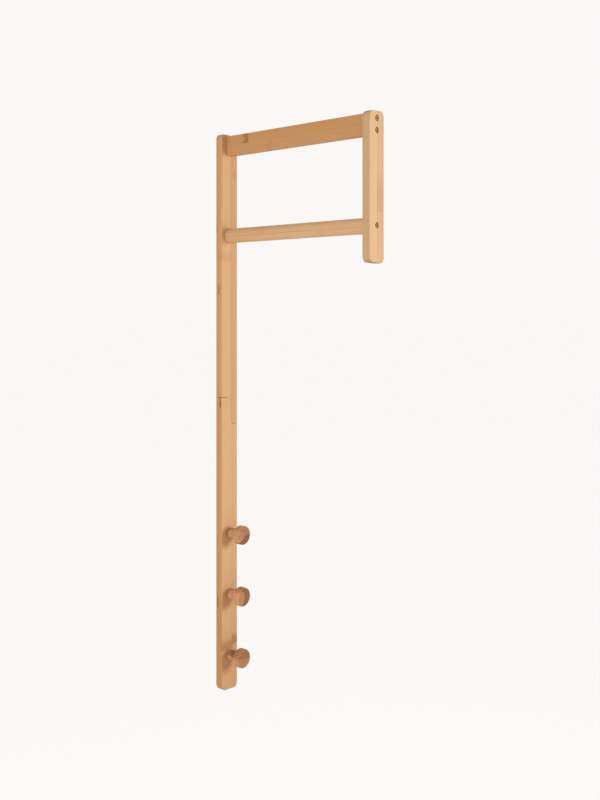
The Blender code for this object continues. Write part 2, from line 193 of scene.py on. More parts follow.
# Axes of the frame, and directions that a turned shape's own +Z can face
X_AXIS, Y_AXIS, Z_AXIS = range(3)
FACING = {
    "front": Matrix.Rotation(math.radians(90), 4, 'X'),
    "wall": Matrix.Rotation(math.radians(-90), 4, 'X'),
    "right": Matrix.Rotation(math.radians(90), 4, 'Y'),
}

MILLIMETRES = 1000.0

# Noise in the patterns: how it is spread about zero, and its usual detail
NOISE_SPREAD = 3.0
NOISE_DETAIL = 2.0
NOISE_ROUGHNESS = 0.5

# Fibres and pores of the bamboo: their stretch along the grain, scales per millimetre, and how they show
GRAIN_STRETCH = 0.02
PORE_STRETCH = 0.07
STRIP_NOISE_SHIFT = (37.0, 71.0)
FIBRE_SCALE = 2.4
FIBRE_DETAIL = 3.0
FIBRE_ROUGHNESS = 0.6
STREAK_SCALE = 0.45
DRIFT_SCALE = 0.08
HUE_SCALE = 0.11
HUE_RANGE = (-0.8, 0.8)
PORE_SCALE = 2.6
PORE_RANGE = (0.45, 0.85)
FIBRE_SHARE = 0.16
STREAK_SHARE = 0.22
DRIFT_SHARE = 0.18
PORE_SHARE = 0.55
ROSY_TINT = (1.02, 0.965, 0.99, 1.0)
OLIVE_TINT = (0.985, 1.02, 0.93, 1.0)
PORE_TINT = (0.66, 0.54, 0.44, 1.0)

# Glue lines between the strips, and end grain
GLUE_LINE = 0.45
GLUE_CORE_SHARE = 0.25
GLUE_SHARE = 0.4
RAIL_GLUE_SHARE = 0.7
GLUE_TINT = (0.62, 0.50, 0.40, 1.0)
END_GRAIN_RANGE = (0.5, 0.95)
END_GRAIN_TINT = (0.72, 0.65, 0.64, 1.0)

# Knuckles, where the culm had its joints: how far they reach along the grain, and how they fray. The same
# marks also make the knobs' dark rings: painted shade round the upper and middle stems, a stain on the
# lower.
KNUCKLE_AND_SHADE_ZONE = 22.0
FRONT_KNUCKLE_ZONE = 70.0
ARM_KNUCKLE_ZONE = 16.0
KNUCKLE_AND_SHADE_EDGE = 1.5
KNUCKLE_AND_SHADE_WAVER = 2.0
KNUCKLE_AND_SHADE_WAVER_SCALE = 0.3
KNUCKLE_AND_SHADE_FINGERS = 7.0
KNUCKLE_AND_SHADE_SHARE = 0.75
KNUCKLE_AND_SHADE_TINT = (0.54, 0.39, 0.20, 1.0)

# Darkening towards one end of a member: on the lower post it is painted shade, the light falling off
# towards its foot; the rail is darker towards the wall
END_DARKENING_SPAN_SHARE = 0.6
LOWER_POST_PAINTED_FALLOFF = 0.72
RAIL_END_DARKENING = 0.3

# Lacquer, and the relief of the grain under it
SATIN_ROUGHNESS = 0.5
SATIN_SHEEN = 0.15
FIBRE_GLOSS = 0.06
END_GRAIN_GLOSS = 0.12
FIBRE_RELIEF = 0.3
PORE_RELIEF = -0.7
GLUE_RELIEF = -0.8
GRAIN_DEPTH = 0.00004
GRAIN_BUMP = 0.6

# Light and dark wood of each sub-part, as linear colours
BACK_COLOURS = ((0.758, 0.454, 0.23), (0.65, 0.348, 0.170))
FRONT_COLOURS = ((0.762, 0.495, 0.272), (0.668, 0.39, 0.19))
ARM_COLOURS = ((0.75, 0.402, 0.178), (0.612, 0.30, 0.119))
RAIL_COLOURS = ((0.90, 0.578, 0.325), (0.745, 0.455, 0.232))
KNOB_COLOURS = ((0.755, 0.40, 0.21), (0.41, 0.174, 0.070))

# Widths of the strips in each member, and how much of the lower post's first layer is planed away
LAYER_WIDTH = 5.2
UPPER_POST_STRIP = 22.8
LOWER_POST_STRIP = 25.5
LOWER_POST_PLANED = 3.2
FRONT_POST_STRIP = 20.4
RAIL_STRIP = 11.0

# The strips themselves, a row for each layer: tone, a knuckle's place along the grain, and its strength.
# The slats' layers count from the front and their strips from the left.
# The arm's and the rail's layers count from the left and their strips from below.
UPPER_POST_STRIPS = (
    ((0.15, 208.0, 0.22), (0.68, 359.0, 0.2)),
    ((0.35, 150.0, 0.6), (0.6, 120.0, 0.5)),
    ((0.7, 260.0, 0.6), (0.5, 40.0, 0.5)),
)
LOWER_POST_STRIPS = (
    ((0.05, -490.5, 0.7), (0.2, -484.0, 0.8)),
    ((0.5, -53.0, 1.0), (0.5, -250.0, 0.5)),
    ((0.7, -413.0, 0.6), (0.5, -200.0, 0.5)),
    # The back layer's dark left strip is painted shade along the back-left edge
    ((1.0, -300.0, 0.3), (0.6, -150.0, 0.5)),
)
FRONT_POST_STRIPS = (
    ((0.1, 350.0, 0.0), (0.62, 276.0, 0.25)),
    ((0.0, 260.0, 0.0), (0.5, 310.0, 0.5)),
    ((0.05, 380.0, 0.2), (0.4, 230.0, 0.5)),
)
ARM_STRIPS = (
    ((0.28, -122.0, 0.2), (0.43, -67.0, 0.9)),
    ((0.5, -120.0, 0.5), (0.4, -250.0, 0.5)),
    ((0.4, -90.0, 0.5), (0.6, -220.0, 0.5)),
)
RAIL_STRIPS = (
    ((0.5, -240.0, 0.1), (0.35, -112.0, 0.15)),
    ((0.5, -240.0, 0.4), (0.4, -150.0, 0.4)),
)

# Blocks that the knobs are turned from: their axes, how far from the middle their two joints lie, how the
# first joint bows and leans, the tones of their four strips, and where and how strongly a dark mark lies
# on them. On the upper and middle knobs the mark is painted shade, a dark ring round the stem by the post;
# on the lower knob it is a dark stain over the upper half of its stem and flare.
KNOB_BLOCKS = {
    "upper": {
        "axes": "XZY", "joint": 0.0, "top_joint": 0.0, "bow": 0.10, "lean": 0.0,
        "tones": ((0.1, 1.0), (0.1, 0.4)), "shade_and_stain_place": -20.5, "shade_and_stain_strengths": ((0.9, 0.9), (0.9, 0.9)),
    },
    "middle": {
        "axes": "XZY", "joint": 0.0, "top_joint": 11.0, "bow": 0.03, "lean": 0.0,
        "tones": ((0.0, 0.85), (0.4, 0.8)), "shade_and_stain_place": -20.5, "shade_and_stain_strengths": ((0.7, 0.7), (0.9, 0.9)),
    },
    "lower": {
        "axes": "ZXY", "joint": 1.0, "top_joint": 0.0, "bow": 0.0, "lean": 0.16,
        "tones": ((0.25, 0.65), (0.25, 0.65)), "shade_and_stain_place": -38.0, "shade_and_stain_strengths": ((0.0, 0.85), (0.0, 0.85)),
    },
}

# Platings: bright and dull colour, the dull patches, fine marks drawn out along two axes, and the roughness
PLATINGS = {
    "bronze_plating": {
        "colours": ((0.54, 0.325, 0.15, 1.0), (0.38, 0.205, 0.085, 1.0)),
        "patch_scale": 0.45, "patch_detail": 4.0, "patch_range": (-0.6, 0.7),
        "mark_stretch": (1.0, 1.0, 12.0), "mark_scale": 1.6,
        "roughness": 0.42, "patch_roughness": 0.18,
    },
    "zinc_plating": {
        "colours": ((0.66, 0.66, 0.64, 1.0), (0.50, 0.51, 0.52, 1.0)),
        "patch_scale": 0.22, "patch_detail": 3.0, "patch_range": (-0.7, 0.7),
        "mark_stretch": (14.0, 1.0, 1.0), "mark_scale": 0.5,
        "roughness": 0.34, "patch_roughness": 0.14,
    },
}
MARK_ROUGHNESS = 0.05
MARK_DEPTH = 0.00002
MARK_BUMP = 0.5


# Shapes

def arc(centre, radius, start, end):
    """Points of an arc about a centre, from one angle to another in degrees."""
    points = []
    for step in range(ARC_STEPS + 1):
        angle = math.radians(start + (end - start) * step / ARC_STEPS)
        points.append((centre[0] + radius * math.cos(angle), centre[1] + radius * math.sin(angle)))
    return points


def arc_down(radius, top, round_radius):
    """Radius and height along a rounded upper edge, from the top face to the side."""
    return arc((radius - round_radius, top - round_radius), round_radius, 90, 0)


def upper_end(left, right, top, radii, short=(0.0, 0.0)):
    """A rounded upper end, from its right side over to its left side."""
    left_radius, right_radius = radii
    left_centre = (left + left_radius, top - short[0] - left_radius)
    right_centre = (right - right_radius, top - short[1] - right_radius)
    return arc(right_centre, right_radius, 0, 90) + arc(left_centre, left_radius, 90, 180)


def lower_end(left, right, bottom, radii, short=(0.0, 0.0)):
    """A rounded lower end, from its left side over to its right side."""
    left_radius, right_radius = radii
    left_centre = (left + left_radius, bottom + short[0] + left_radius)
    right_centre = (right - right_radius, bottom + short[1] + right_radius)
    return arc(left_centre, left_radius, 180, 270) + arc(right_centre, right_radius, 270, 360)


def rounded(low, high, radius, margin=0.0):
    """Outline in X and Z of a box with four alike corners, with a margin all round."""
    left = low.x - margin
    right = high.x + margin
    radii = (radius + margin, radius + margin)
    return upper_end(left, right, high.z + margin, radii) + lower_end(left, right, low.z - margin, radii)


def slot_outline(low, high, radius):
    """An upright slot with round ends on the centreline."""
    return arc((0.0, high), radius, 0, 180) + arc((0.0, low), radius, 180, 360)


def keyhole_outline(low, high):
    """A round entry hole with a narrow slot above it."""
    mouth = math.degrees(math.acos(KEYHOLE_SLOT_RADIUS / KEYHOLE_ENTRY_RADIUS))
    entry = arc((0.0, low), KEYHOLE_ENTRY_RADIUS, 180 - mouth, 360 + mouth)
    return entry + arc((0.0, high), KEYHOLE_SLOT_RADIUS, 0, 180)


def bridged(shape, near, far):
    """Close a solid between two loops of corners."""
    shape.faces.new(near)
    shape.faces.new(far)
    for index in range(len(near)):
        shape.faces.new((near[index - 1], near[index], far[index], far[index - 1]))
    bmesh.ops.recalc_face_normals(shape, faces=shape.faces[:])
    shape.normal_update()
    return shape


def extruded(outline, front, back):
    """Solid between two planes across Y, from an outline in X and Z."""
    shape = bmesh.new()
    near = [shape.verts.new((x, front, z)) for x, z in outline]
    far = [shape.verts.new((x, back, z)) for x, z in outline]
    return bridged(shape, near, far)


def ease(shape, edges, width):
    """Round over some edges of a solid."""
    bmesh.ops.bevel(
        shape,
        geom=list(edges),
        offset=width,
        offset_type='OFFSET',
        segments=EASE_STEPS,
        profile=ROUND_PROFILE,
        affect='EDGES',
    )
    shape.normal_update()


def rim_edges(shape, spared=()):
    """Edges between a face across Y and a side, apart from the sides that are spared."""
    edges = []
    for edge in shape.edges:
        across = [abs(face.normal.y) > ALIGNED for face in edge.link_faces]
        if sorted(across) == [False, True] and not any(face in spared for face in edge.link_faces):
            edges.append(edge)
    return edges


def lap_faces(shape, low, high):
    """The shoulder, cheek and end faces of a half lap between two heights."""
    faces = []
    for face in shape.faces:
        centre = face.calc_center_median()
        level = abs(face.normal.z) > ALIGNED and abs(face.normal.y) < 1.0 - ALIGNED
        cheek = abs(face.normal.x) > ALIGNED and abs(centre.x) < OVERRUN
        if (level or cheek) and low - LAP_SLANT - OVERRUN < centre.z < high + OVERRUN:
            faces.append(face)
    return faces


def spun(rings, sides, pitch=0.0):
    """Solid of rings about Z, each a radius, a height and the depth of the thread cut into it there."""
    shape = bmesh.new()
    loops = []
    for radius, height, depth in rings:
        if radius == 0.0:
            loops.append([shape.verts.new((0.0, 0.0, height))] * sides)
            continue
        loop = []
        for side in range(sides):
            turn = (side + 0.5) / sides
            cut = depth * abs(2.0 * ((height / pitch - turn) % 1.0) - 1.0) if depth else 0.0
            angle = 2.0 * math.pi * turn
            place = ((radius - cut) * math.cos(angle), (radius - cut) * math.sin(angle), height)
            loop.append(shape.verts.new(place))
        loops.append(loop)
    for upper, lower in zip(loops, loops[1:]):
        for side in range(sides):
            corners = (upper[side - 1], upper[side], lower[side], lower[side - 1])
            shape.faces.new(dict.fromkeys(corners))
    bmesh.ops.recalc_face_normals(shape, faces=shape.faces[:])
    return shape


def plain(profile):
    """Rings without a thread, from pairs of radius and height."""
    return [(radius, height, 0.0) for radius, height in profile]


def turned(profile, sides=ROUND_SIDES):
    """Solid about Z without a thread, from pairs of radius and height."""
    return spun(plain(profile), sides)


# Pieces

def add_mesh(name, shape, place=Matrix.Identity(4)):
    """Object from a shape, set in its place with its own origin left at the frame's."""
    shape.transform(place)
    mesh = bpy.data.meshes.new(name)
    shape.to_mesh(mesh)
    shape.free()
    piece = bpy.data.objects.new(name, mesh)
    bpy.context.scene.collection.objects.link(piece)
    return piece


def bake(piece):
    """Make a piece's modifiers part of its mesh."""
    depsgraph = bpy.context.evaluated_depsgraph_get()
    shaped = bpy.data.meshes.new_from_object(piece.evaluated_get(depsgraph))
    plain_mesh = piece.data
    piece.modifiers.clear()
    piece.data = shaped
    bpy.data.meshes.remove(plain_mesh)


def weld(mesh):
    """Join the doubled corners that a cut leaves where edges cross, and drop faces without area there."""
    shape = bmesh.new()
    shape.from_mesh(mesh)
    bmesh.ops.remove_doubles(shape, verts=shape.verts[:], dist=WELD)
    bmesh.ops.dissolve_degenerate(shape, edges=shape.edges[:], dist=WELD)
    shape.to_mesh(mesh)
    shape.free()


def carve(piece, shapes):
    """Cut shapes out of a piece, one after another."""
    cutters = [add_mesh(f"{piece.name}_cutter", shape) for shape in shapes]
    for cutter in cutters:
        cut = piece.modifiers.new("cut", 'BOOLEAN')
        cut.object = cutter
        cut.operation = 'DIFFERENCE'
        cut.solver = 'MANIFOLD'
    bake(piece)
    weld(piece.data)
    for cutter in cutters:
        bpy.data.meshes.remove(cutter.data)


SLOTS = {part["node"]: part["material_slot"] for part in frame["record"]["subparts"]}


def dress(piece, node, material):
    """Smooth a finished piece, give it its material, and let it stand for its node."""
    piece.data.shade_smooth()
    piece.data.set_sharp_from_angle(angle=SHARP_ANGLE)
    normals = piece.modifiers.new("normals", 'WEIGHTED_NORMAL')
    normals.keep_sharp = True
    bake(piece)
    piece.data.materials.clear()
    piece.data.materials.append(material)
    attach(piece, "root")
    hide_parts(node)


# Screws and their holes

def screw_facing(node):
    """Which way a screw's head faces."""
    if "_front_" in node:
        return "front"
    return "right" if node.startswith("lap_") else "wall"


SCREW_FACING = {node: screw_facing(node) for node in SLOTS if "screw" in node}


def screw_seat(node):
    """Where a screw's head ends, with +Z facing out of it, and the screw's whole length."""
    low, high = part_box(node)
    seat = (low + high) / 2
    facing = SCREW_FACING[node]
    if facing == "front":
        seat.y = low.y
    elif facing == "wall":
        seat.y = high.y
    else:
        seat.x = high.x
    return Matrix.Translation(seat) @ FACING[facing], max(high - low)


def counterbored_hole(node):
    """Cutter for a socket head screw: a bore with a chamfered mouth, and a hole for the shank."""
    place, length = screw_seat(node)
    hole = SHANK_RADIUS + FIT_GAP
    cutter = turned((
        (0.0, HEAD_RECESS + OVERRUN),
        (BORE_RADIUS + MOUTH_CHAMFER + OVERRUN, HEAD_RECESS + OVERRUN),
        (BORE_RADIUS, HEAD_RECESS - MOUTH_CHAMFER),
        (BORE_RADIUS, -HEAD_HEIGHT - FIT_GAP),
        (hole, -HEAD_HEIGHT - FIT_GAP),
        (hole, -length - FIT_GAP),
        (0.0, -length - FIT_GAP),
    ))
    cutter.transform(place)
    return cutter


def countersunk_hole(node, radii):
    """Cutter for a countersunk screw that lies flush."""
    place, length = screw_seat(node)
    shank, head = radii
    hole = shank + FIT_GAP
    cone = head - shank
    cutter = turned((
        (0.0, OVERRUN),
        (head + FIT_GAP + OVERRUN, OVERRUN),
        (hole, -cone),
        (hole, -length - FIT_GAP),
        (0.0, -length - FIT_GAP),
    ))
    cutter.transform(place)
    return cutter


def threaded_shank(radius, start, length):
    """Rings of a wood screw's shank, a plain neck, a thread and a point, and the thread's pitch."""
    pitch = radius * THREAD_PITCH_SHARE
    depth = radius * THREAD_DEPTH_SHARE
    neck_end = start - radius * PLAIN_LENGTH_SHARE
    point_start = radius * POINT_LENGTH_SHARE - length
    rings = [(radius - depth, start, 0.0), (radius - depth, neck_end, 0.0)]
    count = math.ceil((neck_end - point_start) / pitch * RINGS_PER_TURN)
    for step in range(1, count + 1):
        height = neck_end + (point_start - neck_end) * step / count
        run_in = min(1.0, step / RINGS_PER_TURN)
        rings.append((radius - depth * (1.0 - run_in), height, depth * run_in))
    for step in range(1, POINT_RINGS):
        share = step / POINT_RINGS
        height = point_start - (length + point_start) * share
        rings.append((radius * (1.0 - share), height, depth * (1.0 - share)))
    rings.append((0.0, -length, 0.0))
    return rings, pitch


def add_screw(node, head, shank, cutters, material):
    """A screw from its head's profile and its threaded shank, with its recess cut, set in its place."""
    rings, pitch = shank
    screw = add_mesh(node + "_fine", spun(plain(head) + rings, SCREW_SIDES, pitch))
    carve(screw, cutters)
    place, _ = screw_seat(node)
    screw.data.transform(place)
    dress(screw, node, material)


def socket_screw(node, material):
    """A socket head screw with rolled edges, a hexagon socket and a wood thread."""
    _, length = screw_seat(node)
    roll = HEAD_EDGE / 2
    head = [(0.0, 0.0)] + arc_down(HEAD_RADIUS, 0.0, HEAD_EDGE)
    head += [(HEAD_RADIUS, roll - HEAD_HEIGHT), (HEAD_RADIUS - roll, -HEAD_HEIGHT)]
    corner = SOCKET_WIDTH / math.sqrt(3)
    socket = turned(
        (
            (0.0, OVERRUN),
            (corner, OVERRUN),
            (corner, -SOCKET_DEPTH),
            (0.0, -SOCKET_DEPTH - corner * SOCKET_CONE_SHARE),
        ),
        SOCKET_SIDES,
    )
    lead_in = turned(
        (
            (0.0, OVERRUN),
            (corner + SOCKET_CHAMFER + OVERRUN, OVERRUN),
            (corner - SOCKET_CHAMFER, -2 * SOCKET_CHAMFER),
            (0.0, -2 * SOCKET_CHAMFER),
        ),
        SCREW_SIDES,
    )
    shank = threaded_shank(SHANK_RADIUS, -HEAD_HEIGHT, length)
    add_screw(node, head, shank, [socket, lead_in], material)


def cross_recess(head_radius):
    """Cutter for a cross recess that narrows towards its floor."""
    reach = head_radius * CROSS_LENGTH_SHARE
    half = head_radius * CROSS_WIDTH_SHARE
    corners = []
    for quarter in range(4):
        turn = Matrix.Rotation(quarter * math.pi / 2, 2)
        for point in ((reach, -half), (reach, half), (half, half)):
            corners.append(turn @ Vector(point))
    shape = bmesh.new()
    mouth = [shape.verts.new((*point, OVERRUN)) for point in corners]
    depth = head_radius * CROSS_DEPTH_SHARE
    floor = [shape.verts.new((*(point * CROSS_FLOOR_SHARE), -depth)) for point in corners]
    return bridged(shape, mouth, floor)


def countersunk_screw(node, radii, material):
    """A flush countersunk screw with a cross recess and a wood thread."""
    _, length = screw_seat(node)
    shank_radius, head_radius = radii
    cone = head_radius - shank_radius
    land = head_radius * LAND_SHARE
    head = [
        (0.0, 0.0),
        (head_radius - land / 2, 0.0),
        (head_radius, -land / 2),
        (head_radius - land, -land),
    ]
    shank = threaded_shank(shank_radius, -cone, length)
    add_screw(node, head, shank, [cross_recess(head_radius)], material)


# Materials

class Graph:
    """A node tree that is written as short calls."""

    def __init__(self, tree):
        self.nodes = tree.nodes
        self.links = tree.links

    def feed(self, socket, value):
        """Link a socket to another node's output, or set a fixed value on it."""
        if isinstance(value, bpy.types.NodeSocket):
            self.links.new(value, socket)
        else:
            socket.default_value = value

    def node(self, kind, inputs, **settings):
        """Add a node with its settings and inputs."""
        made = self.nodes.new(kind)
        for name, setting in settings.items():
            setattr(made, name, setting)
        for socket, value in inputs.items():
            self.feed(made.inputs[socket], value)
        return made


class Pattern(Graph):
    """A material whose pattern is written as short calls, each of them a node or a few."""

    def __init__(self, name):
        self.material = bpy.data.materials.new(name)
        self.material.use_nodes = True
        super().__init__(self.material.node_tree)
        self.surface = self.nodes["Principled BSDF"]

    def place(self):
        """The object's own coordinates, in millimetres, as three values."""
        coordinates = self.nodes.new('ShaderNodeTexCoord').outputs["Object"]
        scaled = self.node(
            'ShaderNodeVectorMath', {0: coordinates, 1: (MILLIMETRES,) * 3}, operation='MULTIPLY'
        )
        parts = self.node('ShaderNodeSeparateXYZ', {0: scaled.outputs[0]})
        return {axis: parts.outputs[axis] for axis in "XYZ"}

    def facing(self):
        """How far the surface faces along each of the object's axes, as three values from 0 to 1."""
        normal = self.nodes.new('ShaderNodeTexCoord').outputs["Normal"]
        size = self.node('ShaderNodeVectorMath', {0: normal}, operation='ABSOLUTE')
        parts = self.node('ShaderNodeSeparateXYZ', {0: size.outputs[0]})
        return {axis: parts.outputs[axis] for axis in "XYZ"}

    def vector(self, x, y, z):
        """Three values as one vector."""
        return self.node('ShaderNodeCombineXYZ', {0: x, 1: y, 2: z}).outputs[0]

    def math(self, operation, first, second=0.0):
        """One step of arithmetic."""
        return self.node('ShaderNodeMath', {0: first, 1: second}, operation=operation).outputs[0]

    def times(self, first, second):
        """Product of two values."""
        return self.math('MULTIPLY', first, second)

    def rest(self, share):
        """What a share leaves of the whole."""
        return self.math('SUBTRACT', 1.0, share)

    def total(self, *values):
        """Sum of several values."""
        result = values[0]
        for value in values[1:]:
            result = self.math('ADD', result, value)
        return result

    def step(self, value, low, high):
        """A smooth step from 0 at the low value to 1 at the high one."""
        made = self.node(
            'ShaderNodeMapRange', {0: value, 1: low, 2: high}, interpolation_type='SMOOTHSTEP'
        )
        return made.outputs[0]

    def noise(self, place, scale, detail=NOISE_DETAIL, roughness=NOISE_ROUGHNESS):
        """Noise about zero, from about -1 to 1."""
        values = {"Vector": place, "Scale": scale, "Detail": detail, "Roughness": roughness}
        cloud = self.node('ShaderNodeTexNoise', values).outputs[0]
        spread = {0: cloud, 1: NOISE_SPREAD, 2: -NOISE_SPREAD / 2}
        return self.node('ShaderNodeMath', spread, operation='MULTIPLY_ADD').outputs[0]

    def mix(self, factor, first, second, blend='MIX'):
        """Two colours mixed, or the first one multiplied by the second."""
        inputs = {0: factor, 6: first, 7: second}
        return self.node('ShaderNodeMix', inputs, data_type='RGBA', blend_type=blend).outputs[2]

    def tint(self, share, colour, tint):
        """A colour multiplied by a tint, for a share of it."""
        return self.mix(share, colour, tint, 'MULTIPLY')

    def choose(self, index, rows):
        """Three facts, each from 0 to 1, from the row of a short list that a whole number picks."""
        count = len(rows)
        share = self.math('DIVIDE', self.math('ADD', index, 0.5), count)
        ramp = self.node('ShaderNodeValToRGB', {0: share})
        ramp.color_ramp.interpolation = 'CONSTANT'
        stops = ramp.color_ramp.elements
        while len(stops) < count:
            stops.new(1.0)
        while len(stops) > count:
            stops.remove(stops[-1])
        for position, (stop, row) in enumerate(zip(stops, rows)):
            stop.position = position / count
            stop.color = (*row, 1.0)
        parts = self.node('ShaderNodeSeparateColor', {0: ramp.outputs[0]})
        return parts.outputs[0], parts.outputs[1], parts.outputs[2]

    def finish(self, colour, roughness, height, depth, strength):
        """Lead a colour, a roughness and a relief of some depth in metres to the surface."""
        self.feed(self.surface.inputs["Base Color"], colour)
        self.feed(self.surface.inputs["Roughness"], roughness)
        relief = self.node('ShaderNodeBump', {"Height": height, "Distance": depth, "Strength": strength})
        self.feed(self.surface.inputs["Normal"], relief.outputs[0])


def split(wood, place, start, width, count):
    """Which of several strips a place is in, and how far it is from the nearest joint, in millimetres."""
    half = 0.5
    turns = wood.math('DIVIDE', wood.math('SUBTRACT', place, start), width)
    index = wood.math('FLOOR', turns)
    index = wood.math('MAXIMUM', wood.math('MINIMUM', index, count - 1), 0.0)
    inside = wood.math('MAXIMUM', wood.math('MINIMUM', turns, count - half), half)
    joint = wood.math('PINGPONG', inside, half)
    return index, wood.times(joint, width)


def bowed(wood, across, through, middle, bow, lean):
    """A place across the strips whose joints bow and lean from the middle of the layers."""
    offset = wood.math('SUBTRACT', through, middle)
    bent = wood.times(wood.times(offset, offset), bow)
    return wood.total(across, bent, wood.times(offset, lean))


def knuckle_and_shade_mark(wood, along, place, grain, streaks, zone):
    """Mark of a knuckle, sharp at one side of its place and frayed along the grain at the other; on the
    knobs the same mark is painted shade round the upper and middle stems and a stain on the lower one.
    """
    waver = wood.times(wood.noise(grain, KNUCKLE_AND_SHADE_WAVER_SCALE), KNUCKLE_AND_SHADE_WAVER)
    past = wood.total(along, wood.times(place, -1.0), waver)
    frayed = wood.math('ADD', past, wood.times(streaks, KNUCKLE_AND_SHADE_FINGERS))
    begun = wood.step(past, 0.0, KNUCKLE_AND_SHADE_EDGE)
    not_over = wood.rest(wood.step(frayed, zone / 2, zone))
    return wood.times(begun, not_over)


def lacquer(wood, colour, fine, pores, joint, end_grain):
    """Finish bamboo with a satin lacquer over the relief of its grain."""
    roughness = wood.total(
        SATIN_ROUGHNESS,
        wood.times(fine, FIBRE_GLOSS),
        wood.times(end_grain, END_GRAIN_GLOSS),
    )
    relief = wood.total(
        wood.times(fine, FIBRE_RELIEF),
        wood.times(pores, PORE_RELIEF),
        wood.times(joint, GLUE_RELIEF),
    )
    wood.surface.inputs["Specular IOR Level"].default_value = SATIN_SHEEN
    wood.finish(colour, roughness, relief, GRAIN_DEPTH, GRAIN_BUMP)


def bamboo(
    name, axes, across_strips, through_layers, strips, colours, span,
    bend=None, end_darkening=0.0, zone=KNUCKLE_AND_SHADE_ZONE, glue=GLUE_SHARE,
):
    """Lacquered bamboo, laminated from strips side by side in layers.

    axes names the object's axes across the strips, through the layers and along the grain. across_strips
    and through_layers are the first one's start and their width, and span is the two ends of the grain, all
    in millimetres. strips has a row for each layer, and each strip there has a tone from 0, light, to 1,
    dark, a knuckle's place along the grain and that knuckle's strength; on the knobs the same mark is
    painted shade round the upper and middle stems, and a dark stain on the lower knob. colours are the light
    and the
    dark one. bend is for turned stock: its middle through the layers, and how its joints bow and lean from
    there.
    end_darkening darkens the colour towards the start of the span; on the lower post this is painted shade,
    the light falling off towards its foot. zone is how far a knuckle reaches, and glue is how much the
    joints show.
    """
    wood = Pattern(name)
    place = wood.place()
    across, through, along = (place[axis] for axis in axes)
    if bend:
        across = bowed(wood, across, through, *bend)

    # Which strip of which layer a place is in, and that strip's facts
    per_layer = len(strips[0])
    strip, strip_joint = split(wood, across, *across_strips, per_layer)
    layer, layer_joint = split(wood, through, *through_layers, len(strips))
    cell = wood.math('ADD', strip, wood.times(layer, per_layer))
    start, end = span
    length = end - start
    facts = []
    for layer_strips in strips:
        facts += [(tone, (knuckle_and_shade - start) / length, strength) for tone, knuckle_and_shade, strength in layer_strips]
    tone, knuckle_and_shade_share, knuckle_and_shade_strength = wood.choose(cell, facts)

    # Fibres, each strip with its own piece of the noise
    own = wood.vector(*(wood.times(cell, shift) for shift in STRIP_NOISE_SHIFT), 0.0)
    stretched = wood.vector(across, through, wood.times(along, GRAIN_STRETCH))
    grain = wood.node('ShaderNodeVectorMath', {0: stretched, 1: own}, operation='ADD').outputs[0]
    short = wood.vector(across, through, wood.times(along, PORE_STRETCH))
    fine = wood.noise(grain, FIBRE_SCALE, FIBRE_DETAIL, FIBRE_ROUGHNESS)
    streaks = wood.noise(grain, STREAK_SCALE)
    drift = wood.noise(grain, DRIFT_SCALE)
    pores = wood.step(wood.noise(short, PORE_SCALE), *PORE_RANGE)

    # Knuckles, with the knobs' painted shade and stain, glue lines and end grain
    knuckle_and_shade_place = wood.math('ADD', wood.times(knuckle_and_shade_share, length), start)
    knuckle_and_shade = wood.times(knuckle_and_shade_mark(wood, along, knuckle_and_shade_place, grain, streaks, zone), knuckle_and_shade_strength)
    nearest_joint = wood.math('MINIMUM', strip_joint, layer_joint)
    joint = wood.rest(wood.step(nearest_joint, GLUE_LINE * GLUE_CORE_SHARE, GLUE_LINE))
    end_grain = wood.step(wood.facing()[axes[2]], *END_GRAIN_RANGE)

    # Colour, from the strip's tone down to the darker marks
    depth = wood.total(
        tone,
        wood.times(streaks, STREAK_SHARE),
        wood.times(fine, FIBRE_SHARE),
        wood.times(drift, DRIFT_SHARE),
    )
    # Darker towards the start of the span: painted shade on the lower post, where the light falls off
    # towards its foot
    if end_darkening:
        low_end = wood.rest(wood.step(along, start, start + length * END_DARKENING_SPAN_SHARE))
        depth = wood.math('ADD', depth, wood.times(low_end, end_darkening))
    light, dark = colours
    colour = wood.mix(depth, (*light, 1.0), (*dark, 1.0))
    hue = wood.mix(wood.step(wood.noise(grain, HUE_SCALE), *HUE_RANGE), ROSY_TINT, OLIVE_TINT)
    colour = wood.tint(1.0, colour, hue)
    # Knuckle marks darken the wood; on the upper and middle knobs the same mark is painted shade at the
    # stem's root
    colour = wood.tint(wood.times(knuckle_and_shade, KNUCKLE_AND_SHADE_SHARE), colour, KNUCKLE_AND_SHADE_TINT)
    colour = wood.tint(wood.times(pores, PORE_SHARE), colour, PORE_TINT)
    colour = wood.tint(wood.times(joint, glue), colour, GLUE_TINT)
    colour = wood.tint(end_grain, colour, END_GRAIN_TINT)
    lacquer(wood, colour, fine, pores, joint, end_grain)
    return wood.material


def plating(name):
    """Plated metal, duller in patches, with fine marks."""
    look = PLATINGS[name]
    metal = Pattern(name)
    place = metal.place()
    spot = metal.vector(*(place[axis] for axis in "XYZ"))
    patches = metal.noise(spot, look["patch_scale"], look["patch_detail"])
    patches = metal.step(patches, *look["patch_range"])
    shares = zip("XYZ", look["mark_stretch"])
    drawn = metal.vector(*(metal.times(place[axis], share) for axis, share in shares))
    marks = metal.noise(drawn, look["mark_scale"])
    bright, dull = look["colours"]
    colour = metal.mix(patches, bright, dull)
    roughness = metal.total(
        look["roughness"],
        metal.times(patches, look["patch_roughness"]),
        metal.times(marks, MARK_ROUGHNESS),
    )
    metal.surface.inputs["Metallic"].default_value = 1.0
    metal.finish(colour, roughness, marks, MARK_DEPTH, MARK_BUMP)
    return metal.material


# Sub-parts of the rack

def grain_span(node, axis):
    """The two ends of a node along an axis, in millimetres."""
    low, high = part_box(node)
    return low[axis] * MILLIMETRES, high[axis] * MILLIMETRES


def equal_strips(node, axis, count):
    """A node's width along an axis in equal strips: the first one's start and a strip's width."""
    start, end = grain_span(node, axis)
    return start, (end - start) / count


